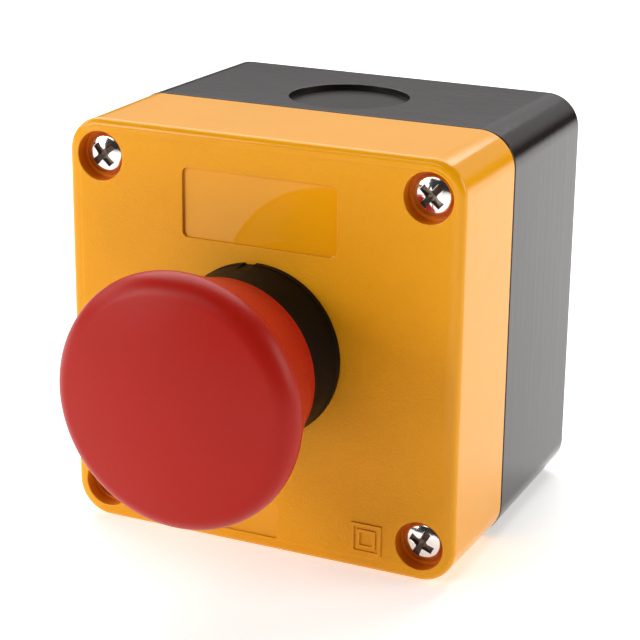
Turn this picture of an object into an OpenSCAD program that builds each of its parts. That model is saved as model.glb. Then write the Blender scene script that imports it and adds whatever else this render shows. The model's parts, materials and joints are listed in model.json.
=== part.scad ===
// One-hole control station with a 40 mm mushroom emergency stop button.
// The button faces -Y, Z is up, and the origin is the centre of the back face.
// Inside the modules a part is drawn in panel coordinates: X to the right,
// Y up and Z out of the panel. stand() turns that into the frame above.

/* [Enclosure] */
// Width at the parting line
box_w = 68; // [67:0.2:72]
// Height at the parting line
box_h = 68.4; // [67:0.2:72]
// Depth of the black base, from the back face to the parting line
base_depth = 32.8; // [32:0.2:40]
// Depth of the yellow lid
lid_depth = 20.8; // [20.4:0.2:24]
// Corner radius at the parting line
corner_r = 6; // [5.8:0.1:6.4]
// Wall thickness of both shells
wall = 2.8; // [2.7:0.1:3]
// Thickness of the lid's front plate
front_t = 2.6; // [2.4:0.1:3]
// Rounding of the lid's front edge
front_edge_r = 1; // [0.6:0.1:1.4]
// How far the base has narrowed at its back, on each side
base_draft = 0.42; // [0.1:0.02:0.6]
// How far the lid has narrowed at its front, on each side
lid_draft = 0.22; // [0.1:0.02:0.4]

/* [Lid fastening] */
// Pitch of the four lid screws, both ways
screw_pitch = 56; // [55.8:0.1:56.4]
// Diameter of the counterbores in the lid
counterbore_d = 8; // [7.4:0.1:8.4]
// Depth of the counterbores, down to the screw heads' seats
counterbore_depth = 2.4; // [2:0.1:3]
// Screw shank diameter
lid_screw_d = 2.9; // [2.8:0.1:3]
// Screw head diameter
lid_screw_head_d = 6.2; // [5.4:0.1:6.4]
// Screw head height
lid_screw_head_h = 1.5; // [1.3:0.1:1.8]
// Screw length under the head
lid_screw_len = 26; // [24:1:27]

/* [Entries and wall fixing] */
// Diameter of the top and bottom knock-outs
knockout_d = 20; // [16:0.5:20.5]
// Depth of the recess over a knock-out
knockout_recess = 1.2; // [0.8:0.1:1.4]
// Height of the knock-outs' centres above the back face
knockout_z = 20.2; // [18:0.2:21]
// Wall-fixing holes: spacing across
fix_w = 38; // [34:1:40]
// Wall-fixing holes: spacing up and down
fix_h = 54; // [50:1:54]
// Wall-fixing holes: diameter
fix_d = 4.3; // [4:0.1:4.5]

/* [Operator] */
// Panel hole for the operator
panel_hole_d = 22.3; // [22.3:0.1:22.7]
// Diameter of the collar on the lid face
collar_d = 28.4; // [28:0.1:29]
// Height of the collar above the lid face
collar_h = 12.6; // [12:0.1:12.8]
// Outer diameter of the threaded barrel
barrel_d = 22; // [21.8:0.1:22]
// Travel of the button from released to latched
travel = 5.5; // [5:0.1:5.5]
// Diameter of the mushroom head
head_d = 39.7; // [39:0.1:41]
// Height of the head's widest circle above the lid face
lip_u = 25.4; // [25:0.1:26]
// Height of the head's tip above the lid face
tip_u = 31.2; // [30.6:0.1:32]
// Rounding of the head's front rim
rim_r = 3.8; // [3.4:0.1:4.2]
// Diameter of the skirt at its bottom edge
skirt_d = 29.2; // [29.2:0.1:30]

/* [Contacts] */
// Travel of a moving contact bridge while the button travels fully
bridge_travel = 4; // [3.6:0.1:4]
// Width of one contact block
block_w = 10; // [9.8:0.1:10.2]
// Distance between the centres of the two contact blocks
block_pitch = 12; // [11.6:0.1:12.4]

/* [Hidden] */
$fn = 96;
eps = 0.01;

// Colours
BLACK = [0.09, 0.09, 0.09];
YELLOW = [0.95, 0.63, 0.12];
RED = [0.72, 0.13, 0.10];
RUBBER = [0.15, 0.15, 0.15];
STEEL = [0.75, 0.76, 0.78];
BRASS = [0.80, 0.64, 0.30];
NATURAL = [0.88, 0.87, 0.82];
GREEN = [0.10, 0.50, 0.22];

// Enclosure, worked out
face_z = base_depth + lid_depth;
lip_t = 1.4;
fit_gap = 0.1;
tongue_h = 2.4;
gasket_t = 1;
rabbet_h = tongue_h + gasket_t;
back_t = wall;
lid_post_r = 5.2;
base_boss_r = 4.4;
back_edge_r = 0.8;
screw_hole_r = 1.7;
pilot_r = lid_screw_d / 2 + 0.05;
label_w = 26.5;
label_h = 11.2;
label_y = 22.3;
label_depth = 0.5;
pad_x = [-21.6, 3.4];
pad_y = [-31.75, -25.6];
pad_depth = 0.35;
mark_x = 19.1;
mark_y = -28.6;
mark_h = 0.25;
mark_line = 0.55;

// Operator, worked out. Heights are counted from the lid face.
key_w = 3.2;
key_r = 12.05;
run = 0.05;
flange_h = 1.2;
notch_w = 1.9;
notch_depth = 0.3;
collar_top_r = 13.2;
pocket_r = 11.8;
pocket_floor = 7.4;
guide_bottom = 4;
stem_r = 6;
tail_r = 5;
chamber_r = 8.6;
barrel_end = -15.5;
thread_end = -10;
tail_barrel_r = 10;
wire_r = 0.6;
latch_u = pocket_floor + wire_r + 0.05;
ceiling_u = collar_h + travel + 0.5;
hub_top_u = ceiling_u + 3.8;
head_split_u = lip_u - 0.7;
skirt_bottom_u = 9.9;
skirt_wall = 0.75;
plate_top_u = barrel_end - 0.2;
plate_bottom_u = plate_top_u - 2.05;
washer_u = -front_t;
washer_r = 13.8;
washer_tooth_r = 12.8;
nut_u = washer_u - 0.8;
nut_h = 5;
nut_r = 14.5;
nut_slot_r = 13.3;
thread_depth = 0.35;
seal_h = 0.8;
seal_side = 0.7;
clip_bend_y = 4.5;
clip_leg = 8;
spring_wire_r = 0.6;
spring_r = 8.2;
spring_top_u = 1.8;
retainer_u = -11.7;
groove_w = 1;
groove_r = chamber_r + 0.6;
retainer_h = 2.2;
groove_u = retainer_u - retainer_h - groove_w;
hub_r = 4;
cap_wall = 2.6;
cap_rib_r = 16.6;
carrier_u = -10.4;
carrier_box_u = -16;
block_u = -24;

// Contact blocks, worked out. Depths are counted from a block's front face.
block_h = 38;
block_d = 20;
block_wall = 1.3;
end_wall = 1.4;
floor_t = 1.5;
plunger_out = plate_bottom_u - block_u - 0.05;
shoulder_top = floor_t + 0.1;
shoulder_bottom = shoulder_top + 2.5;
bridge_t = 0.8;
tip_t = 0.6;
strip_t = 0.8;
nc_bridge_b = shoulder_bottom + travel - bridge_travel + 0.05;
no_bridge_b = shoulder_bottom + 3.2;
tip_y = 7.5;
terminal_y = 13.5;
nc_strip_b = nc_bridge_b - 2 * tip_t - strip_t;
no_strip_b = no_bridge_b + bridge_t + 2 * tip_t + bridge_travel;
clamp_strip_b = no_strip_b;
return_r = 1.9;
contact_r = 3.2;

// ---- shared shapes ----

module stand() rotate([90, 0, 0]) children();

module on_face() stand() translate([0, 0, face_z]) children();

module rod(r, z0, z1) translate([0, 0, z0]) cylinder(r = r, h = z1 - z0);

module ring(r_in, r_out, z0, z1) difference() {
  rod(r_out, z0, z1);
  rod(r_in, z0 - 1, z1 + 1);
}

module block(x, y, z) translate([x[0], y[0], z[0]]) cube([x[1] - x[0], y[1] - y[0], z[1] - z[0]]);

module each_side() for (s = [0, 1]) mirror([0, s, 0]) children();

module at_corners(w, h) for (x = [-w / 2, w / 2], y = [-h / 2, h / 2]) translate([x, y, 0]) children();

module at_screws() at_corners(screw_pitch, screw_pitch) children();

// A wall profile, drawn outwards from the corner centre, carried round the enclosure.
module wall_sweep() {
  cx = box_w / 2 - corner_r;
  cy = box_h / 2 - corner_r;
  for (mx = [0, 1], my = [0, 1]) mirror([mx, 0, 0]) mirror([0, my, 0])
    translate([cx, cy, 0]) rotate_extrude(angle = 90) children();
  for (mx = [0, 1]) mirror([mx, 0, 0])
    translate([cx, cy, 0]) rotate([90, 0, 0]) linear_extrude(2 * cy) children();
  for (my = [0, 1]) mirror([0, my, 0])
    translate([-cx, cy, 0]) rotate([90, 0, 90]) linear_extrude(2 * cx) children();
}

// The flat plate inside the swept wall.
module inner_plate(z)
  block([corner_r - box_w / 2, box_w / 2 - corner_r], [corner_r - box_h / 2, box_h / 2 - corner_r], z);

// The corner of a square left over outside a quarter circle, as a fillet cutter.
module edge_cutter(r) difference() {
  translate([-r, -r]) square(r + 1);
  translate([-r, -r]) circle(r);
}

module rounded_slab(x, y, z, r) {
  block([x[0] + r, x[1] - r], y, z);
  block(x, [y[0] + r, y[1] - r], z);
  for (px = [x[0] + r, x[1] - r], py = [y[0] + r, y[1] - r]) translate([px, py, 0]) rod(r, z[0], z[1]);
}

// An inset copy of the enclosure's outline.
module outline_slab(inset, z) rounded_slab(
  [-box_w / 2 + inset, box_w / 2 - inset], [-box_h / 2 + inset, box_h / 2 - inset], z, corner_r - inset);

module cross_recess(width, reach, top, depth) for (a = [0, 90]) rotate(a)
  block([-reach, reach], [-width / 2, width / 2], [top - depth, top + 1]);

// A helical spring from z0 to z1 as one swept tube.
COIL_SIDES = 6;
COIL_STEPS = 12;
function coil_point(r, wire, z, turn, side) =
  let (a = 360 * turn, b = 360 * side / COIL_SIDES, q = r - wire + wire * cos(b))
  [q * cos(a), q * sin(a), z + wire * sin(b)];

module coil(r, wire, turns, z0, z1) {
  n = turns * COIL_STEPS;
  rise = z1 - z0 - 2 * wire;
  points = [for (i = [0:n], k = [0:COIL_SIDES - 1])
    coil_point(r, wire, z0 + wire + rise * i / n, i / COIL_STEPS, k)];
  sides = [for (i = [0:n - 1], k = [0:COIL_SIDES - 1], half = [0, 1])
    let (m = (k + 1) % COIL_SIDES, here = i * COIL_SIDES, next = here + COIL_SIDES)
    half == 0 ? [here + k, here + m, next + m] : [here + k, next + m, next + k]];
  first = [for (k = [COIL_SIDES - 1:-1:0]) k];
  last = [for (k = [0:COIL_SIDES - 1]) n * COIL_SIDES + k];
  polyhedron(points, concat(sides, [first, last]));
}

// ---- enclosure ----

module base_profile() difference() {
  polygon([
    [0, 0], [corner_r - base_draft, 0], [corner_r, base_depth],
    [corner_r - lip_t - fit_gap, base_depth], [corner_r - lip_t - fit_gap, base_depth + tongue_h],
    [corner_r - wall, base_depth + tongue_h], [corner_r - wall, back_t], [0, back_t]
  ]);
  translate([corner_r - base_draft, 0]) mirror([0, 1]) edge_cutter(back_edge_r);
}

module knockout() translate([0, box_h / 2, knockout_z]) rotate([-90, 0, 0]) {
  rod(knockout_d / 2, -knockout_recess, 1);
  ring(knockout_d / 2 - 0.8, knockout_d / 2, -wall - 1, -wall + 0.7);
}

module base_box() stand() color(BLACK) difference() {
  union() {
    wall_sweep() base_profile();
    inner_plate([0, back_t]);
    at_screws() rod(base_boss_r, back_t - 1, base_depth + tongue_h);
    at_corners(fix_w, fix_h) rod(fix_d / 2 + 2, back_t - 1, back_t + 1);
  }
  at_screws() rod(pilot_r, face_z - counterbore_depth - lid_screw_len - 2, base_depth + tongue_h + 1);
  at_corners(fix_w, fix_h) rod(fix_d / 2, -1, back_t + 2);
  each_side() knockout();
}

module lid_profile() difference() {
  translate([0, base_depth]) polygon([
    [corner_r, 0], [corner_r - lid_draft, lid_depth], [0, lid_depth], [0, lid_depth - front_t],
    [corner_r - wall, lid_depth - front_t], [corner_r - wall, rabbet_h], [corner_r - lip_t, rabbet_h],
    [corner_r - lip_t, 0]
  ]);
  translate([corner_r - lid_draft, face_z]) edge_cutter(front_edge_r);
}

module square_outline(half, z) difference() {
  block([-half, half], [-half, half], z);
  block([mark_line - half, half - mark_line], [mark_line - half, half - mark_line], [z[0] - 1, z[1] + 1]);
}

module lid() stand() color(YELLOW) {
  difference() {
    union() {
      wall_sweep() lid_profile();
      inner_plate([face_z - front_t, face_z]);
      at_screws() rod(lid_post_r, base_depth + rabbet_h, face_z - 1);
      translate([mark_x, mark_y, 0]) for (half = [2.6, 1.6])
        square_outline(half, [face_z - 0.5, face_z + mark_h]);
    }
    at_screws() {
      rod(screw_hole_r, base_depth, face_z);
      rod(counterbore_d / 2, face_z - counterbore_depth, face_z + 1);
    }
    rod(panel_hole_d / 2, face_z - front_t - 1, face_z + 1);
    block([-key_w / 2, key_w / 2], [0, key_r], [face_z - front_t - 1, face_z + 1]);
    rounded_slab([-label_w / 2, label_w / 2], [label_y - label_h / 2, label_y + label_h / 2],
      [face_z - label_depth, face_z + 1], 1);
    rounded_slab(pad_x, pad_y, [face_z - pad_depth, face_z + 1], 0.4);
  }
}

module lid_gasket() stand() color(RUBBER) difference() {
  z = [base_depth + tongue_h, base_depth + rabbet_h];
  union() {
    difference() {
      outline_slab(lip_t + fit_gap, z);
      outline_slab(wall, [z[0] - 1, z[1] + 1]);
    }
    at_screws() rod(base_boss_r, z[0], z[1]);
  }
  at_screws() rod(screw_hole_r, z[0] - 1, z[1] + 1);
}

// A pan head with a domed top, seated at z = 0 with its shank below.
module pan_screw(head_r, head_h, shank_r, len, cross) {
  side_h = head_h * 0.55;
  dome_h = head_h - side_h;
  dome_r = (head_r * head_r + dome_h * dome_h) / (2 * dome_h);
  difference() {
    union() {
      rod(head_r, 0, side_h);
      intersection() {
        translate([0, 0, head_h - dome_r]) sphere(dome_r);
        rod(head_r, side_h - 0.1, head_h + 1);
      }
    }
    cross_recess(cross, head_r * 0.6, head_h, head_h * 0.6);
  }
  rod(shank_r, -len, eps);
}

module lid_screws() stand() color(STEEL) at_screws() translate([0, 0, face_z - counterbore_depth])
  pan_screw(lid_screw_head_d / 2, lid_screw_head_h, lid_screw_d / 2, lid_screw_len, 0.9);

// ---- operator ----

module operator_body() on_face() color(BLACK) difference() {
  union() {
    rotate_extrude() polygon([
      [collar_d / 2, 0], [collar_d / 2, flange_h], [collar_d / 2 - 0.1, flange_h + 0.1],
      [collar_top_r, collar_h - 0.4], [collar_top_r - 0.4, collar_h], [pocket_r, collar_h],
      [pocket_r, pocket_floor], [stem_r + run, pocket_floor], [stem_r + run, guide_bottom],
      [chamber_r, guide_bottom], [chamber_r, groove_u + groove_w], [groove_r, groove_u + groove_w],
      [groove_r, groove_u], [chamber_r, groove_u], [chamber_r, barrel_end],
      [tail_barrel_r, barrel_end], [tail_barrel_r, thread_end - 0.4], [barrel_d / 2, thread_end],
      [barrel_d / 2, 0], [barrel_d / 2 + seal_side, 0], [barrel_d / 2 + seal_side, seal_h],
      [collar_d / 2 - seal_side, seal_h], [collar_d / 2 - seal_side, 0]
    ]);
    // The key that stops the operator turning in its hole
    block([-key_w / 2 + 0.1, key_w / 2 - 0.1], [barrel_d / 2 - 1, key_r - 0.1], [-1.5, 0]);
  }
  // The thread, as rings one pitch apart
  for (u = [-3:-1:thread_end + 0.5]) translate([0, 0, u]) rotate_extrude()
    polygon([[barrel_d / 2 - thread_depth, 0], [barrel_d / 2 + 1, -0.9], [barrel_d / 2 + 1, 0.9]]);
  // The index notch in the collar's flange
  rotate(5) block([-notch_w / 2, notch_w / 2], [collar_d / 2 - notch_depth, collar_d / 2 + 1],
    [-1, flange_h + 2]);
  // Dimples for the carrier's screws
  each_side() translate([0, tail_barrel_r, carrier_u - 2.8]) rotate([-90, 0, 0]) rod(1.55, -0.6, 1);
}

module panel_gasket() on_face() color(RUBBER)
  ring(barrel_d / 2 + seal_side + run, collar_d / 2 - seal_side - run, 0, seal_h);

module lock_washer() on_face() color(STEEL) difference() {
  ring(barrel_d / 2 + 0.1, washer_r, nut_u, washer_u);
  for (a = [0:15:345]) rotate(a)
    block([-0.6, 0.6], [washer_tooth_r, washer_r + 1], [nut_u - 1, washer_u + 1]);
}

module mounting_nut() on_face() color(BLACK) difference() {
  ring(barrel_d / 2 + run, nut_r, nut_u - nut_h, nut_u);
  for (a = [0:45:315]) rotate(a)
    block([-1.5, 1.5], [nut_slot_r, nut_r + 1], [nut_u - nut_h - 1, nut_u - 1.2]);
}

// A U-shaped wire whose legs lie in a groove of the stem.
module latch_clip() on_face() color(STEEL) translate([0, 0, latch_u]) {
  for (s = [-1, 1]) translate([s * stem_r, 0, 0]) rotate([90, 0, 0]) rod(wire_r, -clip_bend_y, clip_leg);
  translate([0, clip_bend_y, 0]) rotate_extrude(angle = 180) translate([stem_r, 0]) circle(wire_r, $fn = 32);
}

module latch_cover() on_face() color(NATURAL)
  ring(stem_r + 0.3, pocket_r - run, latch_u + wire_r + 0.1, 10.2);

module sealing_boot() on_face() color(RUBBER) rotate_extrude() polygon([
  [10.2, 10.25], [pocket_r - 0.1, 10.25], [pocket_r - 0.1, 11.3], [10.9, 11.3], [9.2, 14.9], [8.5, 14.9],
  [7.9, 13.9], [7.3, 16.6], [7.3, 18.2], [stem_r + 0.02, 18.2], [stem_r + 0.02, 16.4], [6.6, 16.2],
  [7.5, 12.5], [8.1, 12.4], [8.8, 13.6], [10.2, 10.9]
]);

module main_spring() on_face() color(STEEL) coil(spring_r, spring_wire_r, 5, retainer_u, spring_top_u);

module spring_retainer() on_face() color(NATURAL)
  ring(tail_r + run, chamber_r - run, retainer_u - retainer_h, retainer_u);

module retaining_ring() on_face() color(STEEL) difference() {
  ring(chamber_r - 1, groove_r - run, groove_u + run, groove_u + groove_w - run);
  rotate(45) block([0, 12], [-2, 2], [groove_u - 1, groove_u + groove_w + 1]);
}

module stem() on_face() color(NATURAL) difference() {
  rotate_extrude() polygon([
    [0, hub_top_u - 0.4], [hub_r, hub_top_u - 0.4], [hub_r, ceiling_u], [stem_r, ceiling_u],
    [stem_r, guide_bottom - run], [chamber_r - 0.3, guide_bottom - run], [chamber_r - 0.3, spring_top_u],
    [tail_r, spring_top_u], [tail_r, plate_top_u], [0, plate_top_u]
  ]);
  for (u = [latch_u, latch_u + travel]) translate([0, 0, u]) rotate_extrude()
    translate([stem_r, 0]) circle(wire_r + 0.05, $fn = 32);
  rod(2.05, 9, hub_top_u + 1);
  rod(1.5, plate_top_u - 1, -8);
}

module pusher_plate() on_face() color(NATURAL) difference() {
  rod(9, plate_bottom_u, plate_top_u);
  rod(1.55, plate_bottom_u - 1, plate_top_u + 1);
  rod(3.2, plate_bottom_u - 1, plate_bottom_u + 1.25);
}

module pusher_screw() on_face() color(STEEL) translate([0, 0, plate_bottom_u + 1.25]) mirror([0, 0, 1])
  pan_screw(2.75, 1.2, 1.45, 7, 0.7);

module mushroom_skirt() on_face() color(RED) rotate_extrude() polygon([
  [skirt_d / 2, skirt_bottom_u], [skirt_d / 2 + 0.15, skirt_bottom_u + 1.6],
  [head_d / 2 - 0.65, head_split_u - 0.85], [head_d / 2 - 0.15, head_split_u - 0.15],
  [cap_rib_r, head_split_u - 0.15], [cap_rib_r, hub_top_u], [hub_r + run, hub_top_u],
  [hub_r + run, ceiling_u],
  [skirt_d / 2 - skirt_wall, ceiling_u], [skirt_d / 2 - skirt_wall, skirt_bottom_u]
]);

module mushroom_cap() on_face() color(RED) rotate_extrude() {
  rim_x = head_d / 2 - rim_r;
  drop = tip_u - lip_u;
  dome_r = (rim_x * rim_x + drop * drop - rim_r * rim_r) / (2 * (drop - rim_r));
  blend_x = dome_r * rim_x / (dome_r - rim_r);
  difference() {
    union() {
      intersection() {
        translate([0, tip_u - dome_r]) circle(dome_r, $fn = 360);
        translate([0, head_split_u]) square([blend_x, tip_u]);
      }
      intersection() {
        translate([rim_x, lip_u]) circle(rim_r);
        translate([0, head_split_u]) square([head_d, head_d]);
      }
      translate([cap_rib_r - 1.6, hub_top_u + 0.2]) square([1.5, lip_u - hub_top_u]);
    }
    translate([-1, hub_top_u]) square([cap_rib_r - 0.6, tip_u - hub_top_u - cap_wall]);
  }
}

module head_screw() on_face() color(STEEL) translate([0, 0, hub_top_u])
  pan_screw(4, 2.4, 2, 12.5, 1.1);

module contact_carrier() on_face() color(BLACK) difference() {
  hook_y = block_h / 2 + 0.2;
  union() {
    rod(14, carrier_box_u, carrier_u);
    block([-12.5, 12.5], [-hook_y - 1.3, hook_y + 1.3], [block_u, carrier_box_u]);
    each_side() for (s = [-1, 1]) translate([s * block_pitch / 2, 0, 0]) {
      block([-3, 3], [hook_y, hook_y + 1.3], [block_u - 5.3, block_u]);
      block([-3, 3], [hook_y - 0.9, hook_y + 1.3], [block_u - 5.3, block_u - 4.3]);
    }
  }
  rod(tail_barrel_r + run, block_u - 1, carrier_u + 1);
  each_side() translate([0, 0, carrier_u - 2.8]) rotate([-90, 0, 0]) rod(1.5, 8, 20);
}

module carrier_screws() on_face() color(STEEL) each_side() translate([0, 14, carrier_u - 2.8])
  rotate([-90, 0, 0]) pan_screw(2.6, 1.8, 1.45, 4.5, 0.7);

// ---- contact blocks ----
// In a block, X runs from its back wall to its cover, Y along its length and Z
// down from its front face. The cover of each block faces away from the other.

module in_block(side) on_face() mirror([side > 0 ? 0 : 1, 0, 0])
  translate([block_pitch / 2, 0, block_u]) mirror([0, 0, 1]) children();

module housing(side) in_block(side) color(NATURAL) difference() {
  half = block_w / 2;
  block([-half, half - block_wall], [-block_h / 2, block_h / 2], [0, block_d]);
  block([block_wall - half, half], [end_wall - block_h / 2, block_h / 2 - end_wall],
    [floor_t, block_d - floor_t]);
  block([-2.1, 2.1], [-2.6, 2.6], [-1, floor_t + 1]);
  each_side() {
    translate([0, terminal_y, 0]) rod(3.3, block_d - floor_t - 1, block_d + 1);
    block([-2.5, 2.5], [block_h / 2 - 2, block_h / 2 + 1],
      [clamp_strip_b + strip_t + 0.1, block_d - 2.6]);
    block([-3.2, 3.2], [block_h / 2 - 0.9, block_h / 2 + 1], [4.1, 5.5]);
  }
}

module cover(side) in_block(side) color(BLACK)
  block([block_w / 2 - block_wall, block_w / 2], [-block_h / 2, block_h / 2], [0, block_d]);

module plunger(side, tint) in_block(side) color(tint) difference() {
  union() {
    block([-2, 2], [-2.5, 2.5], [-plunger_out, shoulder_top + 0.5]);
    block([-3.4, 3.4], [-4, 4], [shoulder_top, shoulder_bottom]);
    // The normally open plunger carries its bridge on two hooked legs
    if (side > 0) each_side() {
      block([-1.2, 1.2], [3.2, 4], [shoulder_bottom - 0.5, no_bridge_b + bridge_t + 0.8]);
      block([-1.2, 1.2], [3.2, 4.7], [no_bridge_b + bridge_t + 0.05, no_bridge_b + bridge_t + 0.8]);
    }
  }
  rod(return_r + 0.2, shoulder_bottom - 1.5, shoulder_bottom + 1);
}

module bridge(side) in_block(side) color(BRASS) {
  b = side > 0 ? no_bridge_b : nc_bridge_b;
  difference() {
    union() {
      block([-3.3, 3.3], [-5, 5], [b, b + bridge_t]);
      block([-2, 2], [-9.2, 9.2], [b, b + bridge_t]);
      each_side() translate([0, tip_y, 0])
        if (side > 0) rod(1.3, b + bridge_t - eps, b + bridge_t + tip_t);
        else rod(1.3, b - tip_t, b + eps);
    }
    rod(return_r + 0.4, b - 1, b + bridge_t + 1);
    if (side > 0) each_side() block([-1.4, 1.4], [3, 4.2], [b - 1, b + bridge_t + 1]);
  }
}

module contact_spring(side) in_block(side) color(STEEL)
  if (side > 0) coil(2.9, 0.25, 3, shoulder_bottom, no_bridge_b);
  else coil(contact_r, 0.25, 6, nc_bridge_b + bridge_t, block_d - floor_t);

module return_spring(side) in_block(side) color(STEEL)
  coil(return_r, 0.2, 8, shoulder_bottom - 1.5, block_d - floor_t);

module fixed_contacts(side) in_block(side) color(BRASS) each_side() difference() {
  union() {
    if (side > 0) {
      block([-2.6, 2.6], [5.8, 16.6], [no_strip_b, no_strip_b + strip_t]);
      translate([0, tip_y, 0]) rod(1.3, no_strip_b - tip_t, no_strip_b + eps);
    } else {
      block([-2.6, 2.6], [5.8, 16.6], [nc_strip_b, nc_strip_b + strip_t]);
      block([-2.6, 2.6], [15.8, 16.6], [nc_strip_b, clamp_strip_b + strip_t]);
      block([-2.6, 2.6], [10.6, 16.6], [clamp_strip_b, clamp_strip_b + strip_t]);
      translate([0, tip_y, 0]) rod(1.3, nc_strip_b + strip_t - eps, nc_strip_b + strip_t + tip_t);
    }
  }
  translate([0, terminal_y, 0]) rod(1.75, clamp_strip_b - 1, clamp_strip_b + strip_t + 1);
}

module terminal_screws(side) in_block(side) color(STEEL) each_side()
  translate([0, terminal_y, block_d - 3.1]) pan_screw(3, 2.2, 1.7, 6, 0.9);

module terminal_clamps(side) in_block(side) color(STEEL) each_side()
  translate([0, terminal_y, 0]) difference() {
    block([-3, 3], [-2.9, 2.1], [block_d - 4, block_d - 3.1]);
    rod(1.8, 0, block_d);
  }

NC = -1;
NO = 1;

base_box();
lid();
lid_gasket();
lid_screws();
operator_body();
panel_gasket();
lock_washer();
mounting_nut();
latch_clip();
latch_cover();
sealing_boot();
main_spring();
spring_retainer();
retaining_ring();
stem();
pusher_plate();
pusher_screw();
mushroom_skirt();
mushroom_cap();
head_screw();
contact_carrier();
carrier_screws();
housing(NC);  // nc_housing
cover(NC);  // nc_cover
plunger(NC, RED);  // nc_plunger
bridge(NC);  // nc_bridge
contact_spring(NC);  // nc_contact_spring
return_spring(NC);  // nc_return_spring
fixed_contacts(NC);  // nc_fixed_contacts
terminal_screws(NC);  // nc_terminal_screws
terminal_clamps(NC);  // nc_terminal_clamps
housing(NO);  // no_housing
cover(NO);  // no_cover
plunger(NO, GREEN);  // no_plunger
bridge(NO);  // no_bridge
contact_spring(NO);  // no_contact_spring
return_spring(NO);  // no_return_spring
fixed_contacts(NO);  // no_fixed_contacts
terminal_screws(NO);  // no_terminal_screws
terminal_clamps(NO);  // no_terminal_clamps
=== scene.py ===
import json
import math

import bmesh
import bpy
from mathutils import Matrix, Vector, geometry


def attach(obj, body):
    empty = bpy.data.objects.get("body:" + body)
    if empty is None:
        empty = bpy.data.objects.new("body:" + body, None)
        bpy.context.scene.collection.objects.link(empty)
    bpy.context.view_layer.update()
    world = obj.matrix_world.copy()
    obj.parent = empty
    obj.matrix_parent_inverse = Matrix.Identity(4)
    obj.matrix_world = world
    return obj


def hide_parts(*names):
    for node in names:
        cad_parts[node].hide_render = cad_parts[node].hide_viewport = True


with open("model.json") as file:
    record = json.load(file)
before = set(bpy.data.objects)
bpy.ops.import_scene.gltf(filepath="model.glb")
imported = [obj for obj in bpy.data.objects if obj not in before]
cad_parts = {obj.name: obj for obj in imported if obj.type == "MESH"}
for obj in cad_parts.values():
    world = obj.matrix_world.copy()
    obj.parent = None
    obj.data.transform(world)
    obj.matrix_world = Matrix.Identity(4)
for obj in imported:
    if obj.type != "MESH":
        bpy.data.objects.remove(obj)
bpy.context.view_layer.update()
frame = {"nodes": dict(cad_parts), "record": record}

# Panel coordinates, in millimetres: x to the right, y up, z out of the panel from the back face.
MM = 0.001
BOX_W, BOX_H = 68.0, 68.4
BASE_DEPTH, FACE = 32.8, 53.6
CORNER_R, WALL = 6.0, 2.8
BASE_DRAFT, LID_DRAFT = 0.42, 0.22
LIP, LIP_GAP = 1.4, 0.1
SCREW_AT = 28.0
SCREWS = [(x, y) for x in (-SCREW_AT, SCREW_AT) for y in (-SCREW_AT, SCREW_AT)]
QUADRANTS = ((0, 1, 1), (90, -1, 1), (180, -1, -1), (270, 1, -1))  # start angle, signs of x and y
CORNER_STEPS = 18
ROUND_STEPS = 6


def place(x, y, z):
    return Vector((x * MM, -z * MM, y * MM))


# ---- outlines, as lists of (x, y) going anticlockwise ----

def arc(cx, cy, r, start, end, steps):
    angles = [math.radians(start + (end - start) * i / steps) for i in range(steps + 1)]
    return [(cx + r * math.cos(a), cy + r * math.sin(a)) for a in angles]


def rounded(half_w, half_h, r, centre=(0, 0), steps=CORNER_STEPS):
    points = []
    for start, sx, sy in QUADRANTS:
        x, y = centre[0] + sx * (half_w - r), centre[1] + sy * (half_h - r)
        points += arc(x, y, r, start, start + 90, steps)
    return points


def outline(inset, steps=CORNER_STEPS):
    return rounded(BOX_W / 2 - inset, BOX_H / 2 - inset, CORNER_R - inset, steps=steps)


def circle(r, centre=(0, 0), steps=64):
    return arc(centre[0], centre[1], r, 0, 360, steps)[:-1]


def pocket(post_r):
    """The enclosure's inner outline, with a round screw post taking up each corner."""
    x, y = BOX_W / 2 - WALL, BOX_H / 2 - WALL
    on_x = math.degrees(math.acos((x - SCREW_AT) / post_r))
    on_y = math.degrees(math.asin((y - SCREW_AT) / post_r))
    corner = arc(SCREW_AT, SCREW_AT, post_r, -on_x, -180 - on_y, CORNER_STEPS)
    points = []
    for _, sx, sy in QUADRANTS:
        mirrored = [(sx * a, sy * b) for a, b in corner]
        points += mirrored if sx * sy > 0 else mirrored[::-1]
    return points


def at_z(points, z):
    return [(x, y, z) for x, y in points]


# ---- meshes ----

def inside(p, polygon):
    hit = False
    for (x1, y1), (x2, y2) in zip(polygon, polygon[1:] + polygon[:1]):
        if (y1 > p[1]) != (y2 > p[1]) and p[0] < (x2 - x1) * (p[1] - y1) / (y2 - y1) + x1:
            hit = not hit
    return hit


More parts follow.
